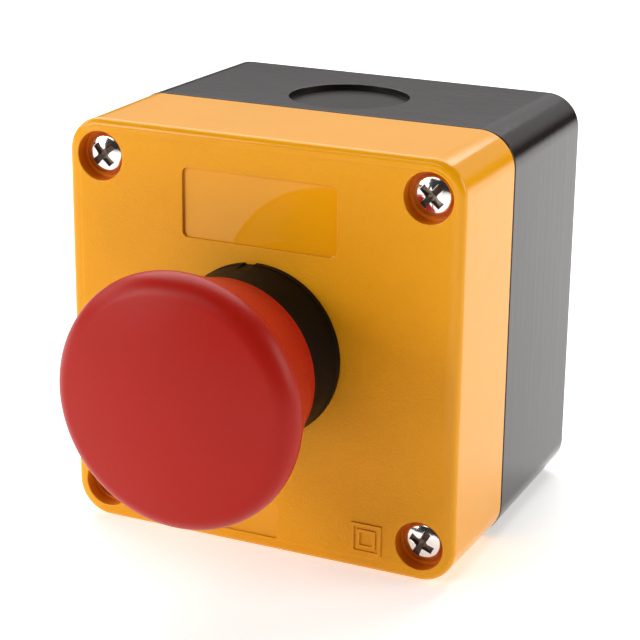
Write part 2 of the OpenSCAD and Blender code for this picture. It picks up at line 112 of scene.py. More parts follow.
class Shell:
    """One closed surface, gathered patch by patch."""

    def __init__(self):
        self.bm = bmesh.new()
        self.known = {}

    def vertex(self, p):
        key = tuple(round(c, 4) for c in p)
        if key not in self.known:
            self.known[key] = self.bm.verts.new(place(*p))
        return self.known[key]

    def face(self, points, mat=0):
        corners = []
        for p in points:
            v = self.vertex(p)
            if v not in corners:
                corners.append(v)
        if len(corners) < 3:
            return
        if self.bm.faces.get(corners) is None:
            f = self.bm.faces.new(corners)
            f.material_index = mat
            f.smooth = True

    def loft(self, loops, mat=0, skip=()):
        """Quads between each loop and the next; skip holds the positions along the loop to leave open."""
        for a, b in zip(loops, loops[1:]):
            for i in range(len(a)):
                if i not in skip:
                    j = (i + 1) % len(a)
                    self.face([a[i], a[j], b[j], b[i]], mat)

    def fill(self, outer, holes=(), mat=0, flat=(0, 1)):
        """A flat patch with holes. flat names the two coordinates to work it out in."""
        rings = [list(outer), *[list(h) for h in holes]]
        every = [p for ring in rings for p in ring]
        plan = [[(p[flat[0]], p[flat[1]]) for p in ring] for ring in rings]
        edges, start = [], 0
        for ring in rings:
            edges += [(start + i, start + (i + 1) % len(ring)) for i in range(len(ring))]
            start += len(ring)
        done = geometry.delaunay_2d_cdt([Vector(p) for ring in plan for p in ring], edges, [], 0, 1e-6)
        spots = [every[came[0]] for came in done[3]]
        for tri in done[2]:
            middle = [sum(done[0][i][k] for i in tri) / 3 for k in (0, 1)]
            if inside(middle, plan[0]) and not any(inside(middle, hole) for hole in plan[1:]):
                self.face([spots[i] for i in tri], mat)

    def piece(self, name, materials, body, slot, *nodes, sharp=35):
        bm = self.bm
        bmesh.ops.remove_doubles(bm, verts=bm.verts, dist=2e-6)
        bmesh.ops.dissolve_degenerate(bm, edges=bm.edges, dist=1e-7)
        bmesh.ops.recalc_face_normals(bm, faces=bm.faces)
        for e in bm.edges:
            e.smooth = len(e.link_faces) == 2 and e.calc_face_angle(0) < math.radians(sharp)
        open_edges = sum(len(e.link_faces) != 2 for e in bm.edges)
        if open_edges:
            print(f"{name}: {open_edges} open edges")
        mesh = bpy.data.meshes.new(name)
        bm.to_mesh(mesh)
        bm.free()
        obj = bpy.data.objects.new(name, mesh)
        bpy.context.collection.objects.link(obj)
        for m in materials:
            mesh.materials.append(m)
        even = obj.modifiers.new("even shading", "WEIGHTED_NORMAL")
        even.mode = "FACE_AREA"
        even.keep_sharp = True
        shaded = bpy.data.meshes.new_from_object(obj.evaluated_get(bpy.context.evaluated_depsgraph_get()))
        obj.modifiers.clear()
        obj.data = shaded
        shaded.name = name
        bpy.data.meshes.remove(mesh)
        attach(obj, body)
        if nodes:
            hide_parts(*nodes)
        return obj


def quarter(steps=ROUND_STEPS):
    """Sine and 1 - cosine of a quarter turn, to sweep a rounded edge."""
    for i in range(steps + 1):
        a = math.pi / 2 * i / steps
        yield math.sin(a), 1 - math.cos(a)


def sunk(shape, z, depth, rim, foot):
    """Loops from a flat face at z over a rounded rim and down a wall to a rounded foot.

    shape(d) is the opening's outline grown by d.
    """
    loops = [at_z(shape(rim * (1 - s)), z - rim * c) for s, c in quarter()]
    return loops + [at_z(shape(-foot * c), z - depth + foot * (1 - s)) for s, c in quarter()]


def raised(shape, z, height, edge):
    """Loops from a flat face at z up a wall and over a rounded edge, inwards."""
    return [at_z(shape(0), z)] + [at_z(shape(-edge * c), z + height - edge * (1 - s)) for s, c in quarter()]


# ---- materials ----

def node_material(name, colour, roughness, **sockets):
    m = bpy.data.materials.new(name)
    m.use_nodes = True
    shader = m.node_tree.nodes["Principled BSDF"]
    shader.inputs["Base Color"].default_value = (*colour, 1)
    shader.inputs["Roughness"].default_value = roughness
    for key, value in sockets.items():
        shader.inputs[key.replace("_", " ")].default_value = value
    return m, m.node_tree, shader


def link(tree, a, b):
    tree.links.new(a, b)


def node(tree, kind, **values):
    n = tree.nodes.new(kind)
    for key, value in values.items():
        if key in n.inputs:
            n.inputs[key].default_value = value
        else:
            setattr(n, key, value)
    return n


def coordinates(tree, scale=(1, 1, 1)):
    place_node = tree.nodes.new("ShaderNodeTexCoord")
    mapping = tree.nodes.new("ShaderNodeMapping")
    mapping.inputs["Scale"].default_value = scale
    link(tree, place_node.outputs["Object"], mapping.inputs["Vector"])
    return mapping.outputs["Vector"]


def noise(tree, scale, detail=2.0, stretch=(1, 1, 1), rough=0.5):
    n = node(tree, "ShaderNodeTexNoise", Scale=scale, Detail=detail, Roughness=rough)
    link(tree, coordinates(tree, stretch), n.inputs["Vector"])
    return n.outputs["Fac"]


def ranged(tree, value, low, high, frm=(0, 1)):
    n = tree.nodes.new("ShaderNodeMapRange")
    for key, v in (("From Min", frm[0]), ("From Max", frm[1]), ("To Min", low), ("To Max", high)):
        n.inputs[key].default_value = v
    link(tree, value, n.inputs["Value"])
    return n.outputs["Result"]


def shades(tree, value, dark, light):
    ramp = tree.nodes.new("ShaderNodeValToRGB")
    ramp.color_ramp.elements[0].color = (*dark, 1)
    ramp.color_ramp.elements[1].color = (*light, 1)
    ramp.color_ramp.elements[0].position = 0.3
    ramp.color_ramp.elements[1].position = 0.7
    link(tree, value, ramp.inputs["Fac"])
    return ramp.outputs["Color"]


def bumps(tree, shader, *layers):
    """layers are (height output, strength, distance in metres), stacked in order."""
    before = None
    for height, strength, distance in layers:
        b = node(tree, "ShaderNodeBump", Strength=strength, Distance=distance)
        link(tree, height, b.inputs["Height"])
        if before:
            link(tree, before, b.inputs["Normal"])
        before = b.outputs["Normal"]
    link(tree, before, shader.inputs["Normal"])


def tinted(colour, share):
    return tuple(min(1, c * share) for c in colour)


DRIFT_SCALE, FINE_SCALE = 60, 900  # of the noises, per metre


def colour_drift(tree, shader, colour, spread):
    drift = noise(tree, DRIFT_SCALE, 3)
    shaded = shades(tree, drift, tinted(colour, 1 - spread), tinted(colour, 1 + spread))
    link(tree, shaded, shader.inputs["Base Color"])


def moulded(name, colour, roughness, grain=None, wave=None, spread=0.04, streaks=None, **sockets):
    """A moulded plastic: slight drift in colour and roughness, and grain, slow waves or draw streaks.

    grain and wave are (noise scale, bump strength, bump distance), and streaks has a stretch for the scale.
    """
    m, tree, shader = node_material(name, colour, roughness, **sockets)
    colour_drift(tree, shader, colour, spread)
    fine = noise(tree, FINE_SCALE, 2)
    link(tree, ranged(tree, fine, roughness * 0.88, roughness * 1.12), shader.inputs["Roughness"])
    layers = []
    if wave:
        layers.append((noise(tree, wave[0], 1), wave[1], wave[2]))
    if streaks:
        layers.append((noise(tree, 1, 3, stretch=streaks[0]), streaks[1], streaks[2]))
    if grain:
        layers.append((noise(tree, grain[0], 3, rough=0.65), grain[1], grain[2]))
    if layers:
        bumps(tree, shader, *layers)
    return m


YELLOW = (0.82, 0.345, 0.0042)
RED = (0.37, 0.0095, 0.0040)
yellow_gloss = moulded("yellow_gloss", YELLOW, 0.14, wave=(120, 0.15, 0.0002), spread=0.02,
                       Specular_IOR_Level=0.26)
# The counterbores' walls and floor: the lid's yellow deepened to orange as painted shade, standing in for
# light that bounces and dims inside them
yellow_bore_painted_shade = moulded("yellow_bore_painted_shade", (0.78, 0.20, 0.003), 0.3, spread=0.02, Specular_IOR_Level=0.2)
yellow_label = moulded("yellow_label", YELLOW, 0.05, wave=(60, 0.04, 0.0001), spread=0.02,
                       Specular_IOR_Level=0.3)
black_gloss = moulded("black_gloss", (0.013, 0.0085, 0.0075), 0.165, wave=(70, 0.12, 0.0003),
                      streaks=((500, 500, 9), 0.25, 0.0001), spread=0.1, Specular_IOR_Level=0.27)
# The neck: the cap's red with less green, painted shade that takes out the yellow light bouncing onto it
# from the lid
red_neck_painted_shade = moulded("red_neck_painted_shade", (0.36, 0.0055, 0.0035), 0.42, grain=(3600, 0.35, 0.00004), spread=0.04,
                   Specular_IOR_Level=0.16)
# The knock-outs' walls: the base's black made darker as painted shade, with a rougher finish
black_rough_shaded = moulded("black_rough_shaded", (0.008, 0.0075, 0.007), 0.5, grain=(1500, 0.3, 0.00005), spread=0.1,
                      Specular_IOR_Level=0.12)
black_satin = moulded("black_satin", (0.014, 0.0105, 0.0085), 0.3, wave=(160, 0.25, 0.0002), spread=0.15,
                      Specular_IOR_Level=0.12)
red_satin = moulded("red_satin", RED, 0.36, grain=(5200, 0.2, 0.00002), wave=(80, 0.1, 0.0002), spread=0.03,
                    Specular_IOR_Level=0.17)
black_polyamide = moulded("black_polyamide", (0.0022, 0.0028, 0.0042), 0.45, grain=(2600, 0.4, 0.00003),
                          spread=0.15, Specular_IOR_Level=0.1)
rubber = moulded("rubber", (0.012, 0.012, 0.012), 0.6, grain=(1800, 0.3, 0.00004), spread=0.15)
natural_plastic = moulded("natural_plastic", (0.72, 0.70, 0.63), 0.38, grain=(2200, 0.2, 0.00003),
                          Subsurface_Weight=0.05)
green_plastic = moulded("green_plastic", (0.02, 0.24, 0.07), 0.38, grain=(2200, 0.2, 0.00003))
inner_red = moulded("inner_red", (0.5, 0.03, 0.02), 0.4, grain=(2200, 0.2, 0.00003))


def arithmetic(tree, operation, a, b=None):
    n = tree.nodes.new("ShaderNodeMath")
    n.operation = operation
    for socket, value in zip(n.inputs, (a, b)):
        if isinstance(value, (int, float)):
            socket.default_value = value
        elif value is not None:
            link(tree, value, socket)
    return n.outputs[0]


def grained_face():
    """The lid's grain, fading out into a smooth margin that follows the rounded outline."""
    smooth, rough = 0.2, 0.44
    margin_outer, margin_inner = 2.1, 2.5
    m, tree, shader = node_material("yellow_grain", YELLOW, rough, Specular_IOR_Level=0.2)
    split = tree.nodes.new("ShaderNodeSeparateXYZ")
    link(tree, coordinates(tree), split.inputs["Vector"])
    past = [arithmetic(tree, "SUBTRACT", arithmetic(tree, "ABSOLUTE", split.outputs[axis]),
                       (half - CORNER_R) * MM) for axis, half in (("X", BOX_W / 2), ("Z", BOX_H / 2))]
    round_x, round_z = [arithmetic(tree, "MAXIMUM", value, 0.0) for value in past]
    corner = arithmetic(tree, "SQRT", arithmetic(tree, "ADD", arithmetic(tree, "MULTIPLY", round_x, round_x),
                                                 arithmetic(tree, "MULTIPLY", round_z, round_z)))
    straight = arithmetic(tree, "MINIMUM", arithmetic(tree, "MAXIMUM", past[0], past[1]), 0.0)
    reach = arithmetic(tree, "ADD", corner, straight)
    share = ranged(tree, reach, 1, 0, ((CORNER_R - margin_inner) * MM, (CORNER_R - margin_outer) * MM))
    colour_drift(tree, shader, YELLOW, 0.04)
    link(tree, ranged(tree, share, smooth, rough), shader.inputs["Roughness"])
    grain = arithmetic(tree, "MULTIPLY", noise(tree, 2700, 3, rough=0.65), share)
    bumps(tree, shader, (noise(tree, 90, 1), 0.2, 0.0002), (grain, 1.0, 0.00011))
    return m


yellow_grain = grained_face()


def metal(name, colour, roughness, stretch, strength):
    """A plated or drawn metal with fine scratches, whose scale along each axis is stretch."""
    m, tree, shader = node_material(name, colour, roughness, Metallic=1.0)
    scratch = noise(tree, 1, 4, stretch=stretch)
    link(tree, ranged(tree, scratch, roughness * 0.7, roughness * 1.4), shader.inputs["Roughness"])
    mottled = shades(tree, noise(tree, 300, 2), tinted(colour, 0.9), tinted(colour, 1.05))
    link(tree, mottled, shader.inputs["Base Color"])
    bumps(tree, shader, (scratch, strength, 0.00001))
    return m


plated = metal("nickel_plating", (0.80, 0.77, 0.73), 0.11, (2500, 2500, 2500), 0.12)
spring_steel = metal("spring_steel", (0.60, 0.60, 0.62), 0.28, (600, 4000, 600), 0.2)
brass = metal("contact_brass", (0.78, 0.55, 0.22), 0.25, (900, 3000, 900), 0.15)
# The screws' cross recesses: the plating darkened and browned as painted shade and painted warm reflection
recess_metal_painted_shade = metal("recess_metal_painted_shade", (0.20, 0.155, 0.125), 0.38, (2500, 2500, 2500), 0.12)

BY_SLOT = {"black_abs": black_gloss, "yellow_abs": yellow_gloss, "red_plastic": inner_red,
           "black_polyamide": black_polyamide, "rubber": rubber, "plated_steel": plated,
           "spring_steel": spring_steel, "natural_plastic": natural_plastic, "contact_brass": brass,
           "green_plastic": green_plastic}


def dress_nodes():
    """Each CAD node gets its slot's material, without a change to its mesh."""
    slots = {part["node"]: part["material_slot"] for part in frame["record"]["subparts"]}
    for name, obj in frame["nodes"].items():
        if isinstance(obj, str):
            obj = bpy.data.objects[obj]
        if not obj.material_slots:
            obj.data.materials.append(None)
        for slot in obj.material_slots:
            slot.link = "OBJECT"
            slot.material = BY_SLOT[slots[name]]


dress_nodes()

# ---- lid ----

# The bore's material is the yellow deepened to orange, painted shade in the counterbores
GRAIN, GLOSS, MIRROR, BORE_SHADE = 0, 1, 2, 3  # the lid's materials, in order
BORE_R, BORE_DEPTH, BORE_RIM, BORE_FOOT = 4.0, 2.4, 0.14, 0.25
HOLE_R, KEY_W, KEY_R = 11.15, 3.2, 12.05  # the operator's hole and its key notch
SHANK_HOLE_R = 1.7
LID_POST_R = 5.2
RABBET = 3.4  # depth of the step that takes the base's tongue
PLATE = 2.6  # thickness of the lid's front
BORDER, CROWN, STEP, STEP_RUN = 1.72, 0.03, 0.02, 0.03  # the smooth border and the low step inside it
EDGE_R, EDGE_STEPS = 1.0, 12
LID_FOOT_R, LID_SHY = 0.22, 0.08  # the lid's lower edge, and how far it stands in from the base
# Half width, half height, corner radius and centre of each recess, with its depth and its rim's radius
LABEL = ((13.25, 5.6, 1.0, (0, 22.3)), 0.5, 0.12)
PAD = ((12.5, 3.075, 0.4, (-9.1, -28.675)), 0.35, 0.1)
RECESS_FOOT = 0.1
MARK_AT, MARK_HALVES = (19.1, -28.6), (2.6, 1.6)
MARK_H, MARK_LINE, MARK_CORNER, MARK_EDGE = 0.25, 0.55, 0.16, 0.07


def keyed_hole():
    """The operator's hole with its key notch at the top."""
    half = math.degrees(math.asin(KEY_W / 2 / HOLE_R))
    points = arc(0, 0, HOLE_R, 90 + half, 450 - half, 96)
    return points + [(KEY_W / 2, KEY_R), (-KEY_W / 2, KEY_R)]


def recess(half_w, half_h, r, centre):
    return lambda d: rounded(half_w + d, half_h + d, max(r + d, 0.05), centre, 8)


def lid_sides():
    """Loops from the foot of the grained face's step, over the crowned border and the rounded edge, down the
    drafted sides and round the lower edge up to the rabbet."""
    top = FACE - STEP
    edge, inner = BORDER - STEP_RUN, LID_DRAFT + EDGE_R
    loops, crown_steps, side_steps = [], 8, 4
    for i in range(crown_steps + 1):
        t = i / crown_steps
        loops.append(at_z(outline(edge - (edge - inner) * t), top - CROWN * t * t))
    lean = math.atan2(2 * CROWN, edge - inner)
    radius = EDGE_R / (1 - math.sin(lean))
    side_top = top - CROWN - radius * math.cos(lean)
    for i in range(1, EDGE_STEPS + 1):
        a = lean + (math.pi / 2 - lean) * i / EDGE_STEPS
        loops.append(at_z(outline(LID_DRAFT + radius * (1 - math.sin(a))), side_top + radius * math.cos(a)))
    side_low = BASE_DEPTH + LID_FOOT_R
    for i in range(1, side_steps + 1):
        z = side_top + (side_low - side_top) * i / side_steps
        rise = (z - side_low) / (side_top - side_low)
        loops.append(at_z(outline(LID_SHY + (LID_DRAFT - LID_SHY) * rise), z))
    loops += [at_z(outline(LID_SHY + LID_FOOT_R * c), BASE_DEPTH + LID_FOOT_R * (1 - sn))
              for sn, c in quarter(side_steps)][1:]
    return loops + [at_z(outline(LIP - LIP_GAP), BASE_DEPTH), at_z(outline(LIP), BASE_DEPTH + LIP_GAP),
                    at_z(outline(LIP), BASE_DEPTH + RABBET)]


def build_lid():
    s = Shell()
    s.loft([at_z(outline(BORDER), FACE), at_z(outline(BORDER - STEP_RUN), FACE - STEP)], GLOSS)
    s.loft(lid_sides(), GLOSS)
    # Inside: the step over the gasket, the pocket and its ceiling
    ceiling = FACE - PLATE
    step_z = BASE_DEPTH + RABBET
    hollow = pocket(LID_POST_R)
    s.fill(at_z(outline(LIP), step_z),
           [at_z(hollow, step_z), *[at_z(circle(SHANK_HOLE_R, c, 32), step_z) for c in SCREWS]], GLOSS)
    s.loft([at_z(hollow, step_z), at_z(hollow, ceiling)], GLOSS)
    hole = keyed_hole()
    s.fill(at_z(hollow, ceiling), [at_z(hole, ceiling)], GLOSS)
    s.loft([at_z(hole, ceiling), at_z(hole, FACE)], GLOSS)
    # Counterbores
    openings = [at_z(hole, FACE)]
    seat = FACE - BORE_DEPTH
    for c in SCREWS:
        loops = sunk(lambda d: circle(BORE_R + d, c), FACE, BORE_DEPTH, BORE_RIM, BORE_FOOT)
        openings.append(loops[0])
        s.loft(loops[:ROUND_STEPS], GLOSS)
        # Below the rim the walls and floor take the deeper orange of painted shade
        s.loft(loops[ROUND_STEPS - 1:], BORE_SHADE)
        shank = at_z(circle(SHANK_HOLE_R, c, 32), seat)
        s.fill(loops[-1], [shank], BORE_SHADE)
        s.loft([shank, at_z(circle(SHANK_HOLE_R, c, 32), step_z)], GLOSS)
    # The label's place and the lower pad
    for size_and_place, depth, rim in (LABEL, PAD):
        loops = sunk(recess(*size_and_place), FACE, depth, rim, RECESS_FOOT)
        openings.append(loops[0])
        s.loft(loops, GLOSS)
        s.fill(loops[-1], mat=MIRROR)
    # The raised pair of squares
    floor = None
    for half in MARK_HALVES:
        within = half - MARK_LINE
        outer = raised(lambda d: rounded(half + d, half + d, MARK_CORNER + d, MARK_AT, 3),
                       FACE, MARK_H, MARK_EDGE)
        inner = raised(lambda d: rounded(within - d, within - d, MARK_CORNER, MARK_AT, 3),
                       FACE, MARK_H, MARK_EDGE)
        if floor is None:
            openings.append(outer[0])
        else:
            s.fill(floor, [outer[0]], GRAIN)
        s.loft(outer + inner[::-1], GLOSS)
        floor = inner[0]
    s.fill(floor, mat=GRAIN)
    s.fill(at_z(outline(BORDER), FACE), openings, GRAIN)
    return s.piece("lid_shell", [yellow_grain, yellow_gloss, yellow_label, yellow_bore_painted_shade],
                   "station", "yellow_abs", "lid")


build_lid()

# ---- base ----

BOSS_R, TONGUE, PILOT_R, PILOT_DEPTH = 4.4, 2.4, 1.5, 30.4  # the pilot holes' depth is from the lid's face
FIX = [(x, y) for x in (-19.0, 19.0) for y in (-27.0, 27.0)]
FIX_R, FIX_RIM = 2.15, 0.15
FIX_PAD_R, FIX_PAD_H = FIX_R + 2, 1
KNOCK_R, KNOCK_Z, KNOCK_DEPTH = 10.0, 20.2, 1.2
KNOCK_RIM, KNOCK_FOOT = 0.12, 0.15
BACK_R, MOUTH_R = 0.8, 0.22  # the rounded edges round the back and round the open front
# The knock-out's wall takes the black darkened as painted shade; its floor a satin finish
WALL_SIDE_SHADE, WALL_FLOOR = 1, 2  # the materials of a knock-out's wall and floor


def build_base():
    s = Shell()

    def inset(z):
        return BASE_DRAFT * (1 - z / BASE_DEPTH)

    walls = [at_z(outline(inset(0) + BACK_R * (1 - sn)), BACK_R * c) for sn, c in quarter(8)]
    side_low = len(walls) - 1
    walls.append(at_z(outline(inset(BASE_DEPTH - MOUTH_R)), BASE_DEPTH - MOUTH_R))
    walls += [at_z(outline(MOUTH_R * c), BASE_DEPTH - MOUTH_R * (1 - sn)) for sn, c in quarter(4)][1:]
    lip_in = LIP + LIP_GAP
    rim_z = BASE_DEPTH + TONGUE
    walls += [at_z(outline(lip_in), BASE_DEPTH), at_z(outline(lip_in), rim_z - LIP_GAP),
              at_z(outline(lip_in + LIP_GAP), rim_z)]
    # The straight runs of the top and bottom walls are filled round the knock-outs instead
    run = CORNER_STEPS + 1
    flat = {run - 1: 1, 3 * run - 1: -1}
    s.loft(walls[:side_low + 1])
    s.loft(walls[side_low:side_low + 2], skip=flat)
    s.loft(walls[side_low + 1:])
    low, high = walls[side_low], walls[side_low + 1]
    for i, side in flat.items():
        j = (i + 1) % len(low)

        def ring(r, depth, side=side):
            """A circle that follows the drafted wall near the surface and lies flat near the floor."""
            flat_below = KNOCK_DEPTH / 2
            return [(x, side * (BOX_H / 2 - (0 if depth > flat_below else inset(z)) - depth), z)
                    for x, z in circle(r, (0, KNOCK_Z), 96)]

        loops = [ring(KNOCK_R + KNOCK_RIM * (1 - sn), KNOCK_RIM * c) for sn, c in quarter()]
        loops += [ring(KNOCK_R - KNOCK_FOOT * c, KNOCK_DEPTH - KNOCK_FOOT * (1 - sn)) for sn, c in quarter()]
        s.fill([low[i], low[j], high[j], high[i]], [loops[0]], flat=(0, 2))
        s.loft(loops[:ROUND_STEPS + 1])
        # The knock-out's wall in the black darkened as painted shade
        s.loft(loops[ROUND_STEPS:], WALL_SIDE_SHADE)
        s.fill(loops[-1], mat=WALL_FLOOR, flat=(0, 2))
    # The back, with the wall-fixing holes and their pads inside
    mouths, pads = [], []
    for c in FIX:
        loops = [at_z(circle(FIX_R + FIX_RIM * (1 - sn), c, 40), FIX_RIM * co) for sn, co in quarter(4)]
        mouths.append(loops[0])
        hole_end = at_z(circle(FIX_R, c, 40), WALL + FIX_PAD_H)
        s.loft([*loops, hole_end])
        pad = [at_z(circle(FIX_PAD_R, c, 40), z) for z in (WALL + FIX_PAD_H, WALL)]
        s.fill(pad[0], [hole_end])
        s.loft(pad)
        pads.append(pad[1])
    s.fill(walls[0], mouths)
    # Inside: floor, pocket, and the bosses with their screw holes
    hollow = pocket(BOSS_R)
    s.fill(at_z(hollow, WALL), pads)
    s.loft([at_z(hollow, WALL), at_z(hollow, rim_z)])
    pilots = [at_z(circle(PILOT_R, c, 32), rim_z) for c in SCREWS]
    s.fill(walls[-1], [at_z(hollow, rim_z), *pilots])
    for c in SCREWS:
        end = at_z(circle(PILOT_R, c, 32), FACE - PILOT_DEPTH)
        s.loft([at_z(circle(PILOT_R, c, 32), rim_z), end])
        s.fill(end)
    return s.piece("base_shell", [black_gloss, black_rough_shaded, black_satin], "station", "black_abs", "base_box")


build_base()

# ---- lathed pieces ----


def lathe(profile, angles, shape=None, closed=True):
    """Loops of a turned piece, one for each point (r, u) of its profile; u counts from the lid's face.

    shape(angle, r, u) gives the radius where the piece isn't round.
    """
    loops = []
    for r, u in profile:
        loop = []
        for a in angles:
            q = shape(a, r, u) if shape else r
            loop.append((q * math.cos(math.radians(a)), q * math.sin(math.radians(a)), FACE + u))
        loops.append(loop)
    if closed:
        loops.append(loops[0])
    return loops


def soften(points, radii, steps=5):
    """A closed profile with its corners rounded: radii gives each corner's radius, 0 to leave it sharp."""
    result = []
    n = len(points)
    for i, p in enumerate(points):
        r = radii[i]
        if not r:
            result.append(p)
            continue
        a, b = Vector(points[i - 1]), Vector(points[(i + 1) % n])
        v = Vector(p)
        to_a, to_b = (a - v), (b - v)
        half = to_a.angle(to_b) / 2
        reach = min(r / math.tan(half), to_a.length * 0.49, to_b.length * 0.49)
        real = reach * math.tan(half)
        to_a.normalize()
        to_b.normalize()
        centre = v + (to_a + to_b).normalized() * (real / math.sin(half))
        start, end = v + to_a * reach - centre, v + to_b * reach - centre
        turn = start.angle_signed(end)
        for k in range(steps + 1):
            t = -turn * k / steps
            result.append((centre.x + start.x * math.cos(t) - start.y * math.sin(t),
                           centre.y + start.x * math.sin(t) + start.y * math.cos(t)))
    return result


ROUND = [i * 360 / 192 for i in range(192)]
COLLAR_R, FLANGE_H, COLLAR_TOP_R, COLLAR_H = 14.2, 1.2, 13.2, 12.6
NOTCH_AT, NOTCH_W, NOTCH_DEPTH, NOTCH_END = 95.0, 1.9, 0.3, 3.2
BARREL_R, CREST_R, ROOT_R, PITCH_SHARE = 10, 11, 10.65, 0.32
BARREL_KEY_W, BARREL_KEY_R, KEY_ROOT_R, KEY_END = 3.0, 11.95, 11.69, -1.5


def build_collar():
    pocket_r, pocket_floor = 11.8, 7.4
    stem_r, guide_r, guide_top = 6.05, 8.6, 4.0
    snap_r, snap_u, snap_w = 9.2, -13.9, 1
    barrel_end, thread_end = -15.5, -10.0
    seal_in, seal_out, seal_h = 11.7, 13.5, 0.8
    foot_r, foot_u = COLLAR_R - 0.1, FLANGE_H + 0.1

    def on_cone(u):
        return foot_r + (COLLAR_TOP_R - foot_r) * (u - foot_u) / (COLLAR_H - foot_u), u

    # The two rings on the cone end the notch part of the way up it
    points = [(COLLAR_R, 0), (COLLAR_R, FLANGE_H), (foot_r, foot_u), on_cone(NOTCH_END),
              on_cone(NOTCH_END + 0.1), (COLLAR_TOP_R, COLLAR_H), (pocket_r, COLLAR_H),
              (pocket_r, pocket_floor), (stem_r, pocket_floor), (stem_r, guide_top), (guide_r, guide_top),
              (guide_r, snap_u), (snap_r, snap_u), (snap_r, snap_u - snap_w), (guide_r, snap_u - snap_w),
              (guide_r, barrel_end), (BARREL_R, barrel_end), (BARREL_R, thread_end - 0.4),
              (CREST_R, thread_end)]
    radii = [0.08, 0.05, 0.05, 0, 0, 0.45, 0.3, 0.2, 0.1, 0.1, 0.2, 0, 0, 0, 0, 0.2, 0.2, 0, 0]
    for u in range(-9, -2):  # the thread, one ring a millimetre
        points += [(CREST_R, u - PITCH_SHARE), (ROOT_R, u), (CREST_R, u + PITCH_SHARE)]
        radii += [0, 0.05, 0]
    points += [(CREST_R, KEY_END), (CREST_R, 0), (seal_in, 0), (seal_in, seal_h), (seal_out, seal_h),
               (seal_out, 0)]
    radii += [0, 0, 0, 0, 0, 0.1]
    profile = soften(points, radii)
    half = math.degrees(NOTCH_W / 2 / COLLAR_R)
    key = math.degrees(math.asin(BARREL_KEY_W / 2 / BARREL_KEY_R))
    # A pair of columns stands close together at each side of the notch and of the key
    sides, gap = [NOTCH_AT - half, NOTCH_AT + half, 90 - key, 90 + key], 0.18
    angles = sorted([a for a in ROUND if all(abs(a - m) > 0.5 for m in sides)]
                    + [m + d for m in sides for d in (-gap, gap)])

    def shape(a, r, u):
        if r > COLLAR_R - NOTCH_DEPTH and u <= NOTCH_END and abs(a - NOTCH_AT) < half:
            return COLLAR_R - NOTCH_DEPTH
        if abs(r - CREST_R) < 1e-6 and KEY_END <= u <= 0 and abs(a - 90) < key:
            return BARREL_KEY_R if u == KEY_END else KEY_ROOT_R
        return r

    s = Shell()
    s.loft(lathe(profile, angles, shape))
    return s.piece("operator_collar", [black_polyamide], "station", "black_polyamide", "operator_body")


build_collar()

SPLIT, HUB_TOP, CEILING = 24.7, 22.4, 18.6  # the seam, and the skirt's hub
HEAD_R, LIP_U, TIP_U, RIM_R = 19.85, 25.4, 31.2, 3.8  # the cap, with the height of its widest ring


def build_skirt():
    mouth_u, mouth_r, bore_r = 9.9, 14.6, 13.85
    edge_u, edge_r, socket_r, hub_hole_r = 24.55, 19.7, 16.6, 4.05
    points = [(mouth_r, mouth_u), (14.75, 11.5), (19.2, 23.85), (edge_r, edge_u), (socket_r, edge_u),
              (socket_r, HUB_TOP), (hub_hole_r, HUB_TOP), (hub_hole_r, CEILING), (bore_r, CEILING),
              (bore_r, mouth_u)]
    radii = [0.22, 3.0, 0.8, 0.1, 0.1, 0.2, 0, 0, 0.4, 0.22]
    s = Shell()
    s.loft(lathe(soften(points, radii), ROUND))
    # The neck's red holds painted shade against the lid's yellow bounce light
    return s.piece("button_neck", [red_neck_painted_shade], "button", "red_plastic", "mushroom_skirt")


def build_cap():
    rim_x = HEAD_R - RIM_R
    drop = TIP_U - LIP_U
    dome_r = (rim_x ** 2 + drop ** 2 - RIM_R ** 2) / (2 * (drop - RIM_R))
    blend = math.asin(rim_x / (dome_r - RIM_R))
    steps = 24
    profile = []
    for i in range(1, steps + 1):
        a = blend * i / steps
        profile.append((dome_r * math.sin(a), TIP_U - dome_r * (1 - math.cos(a))))
    for i in range(1, steps + 1):
        a = blend + (math.pi / 2 - blend) * i / steps
        profile.append((rim_x + RIM_R * math.sin(a), LIP_U + RIM_R * math.cos(a)))
    split_r, spigot_r, spigot_end, hollow_r, hollow_top = 19.72, 16.5, 22.6, 15, 28.6
    under = soften([(HEAD_R, LIP_U), (split_r, SPLIT), (spigot_r, SPLIT), (spigot_r, spigot_end),
                    (hollow_r, spigot_end), (hollow_r, hollow_top), (0.001, hollow_top)],
                   [0, 0.15, 0.1, 0.1, 0.1, 0.4, 0])
    profile += under[1:-1]  # without its ends, which only steer the corners next to them
    s = Shell()
    loops = lathe(profile, ROUND, closed=False)
    s.loft(loops)
    centre_top = (0, 0, FACE + TIP_U)
    for i in range(len(ROUND)):
        j = (i + 1) % len(ROUND)
        s.face([centre_top, loops[0][i], loops[0][j]])
    s.fill(loops[-1])
    return s.piece("button_cap", [red_satin], "button", "red_plastic", "mushroom_cap")


build_skirt()
build_cap()

# ---- lid screws ----

SCREW_HEAD_R, HEAD_H, SIDE_H, HEAD_CHAMFER = 3.1, 1.5, 0.9, 0.1
SHANK_R, SHANK_LEN, PLAIN_LEN, THREAD_DEPTH, PITCH = 1.45, 26.0, 14, 0.3, 0.6
# The recess's material is the dark brown metal of painted shade and painted warm reflection
RECESS_SHADE = 1  # the recess's material
RECESS_DEPTH, MIDDLE_DEPTH = 0.7, 1.35
MOUTH_CROSS = (2.12, 0.56, 0.62, 1.02)  # arm length, half width at its neck and at its tip, and waist
FLOOR_CROSS = (1.75, 0.42, 0.46, 0.78)
TURNS = dict(zip(SCREWS, (30, 42, 63, 48)))  # how far each cross is turned, in degrees


def turned(points, angle):
    c, n = math.cos(angle), math.sin(angle)
    return [(x * c - y * n, x * n + y * c) for x, y in points]


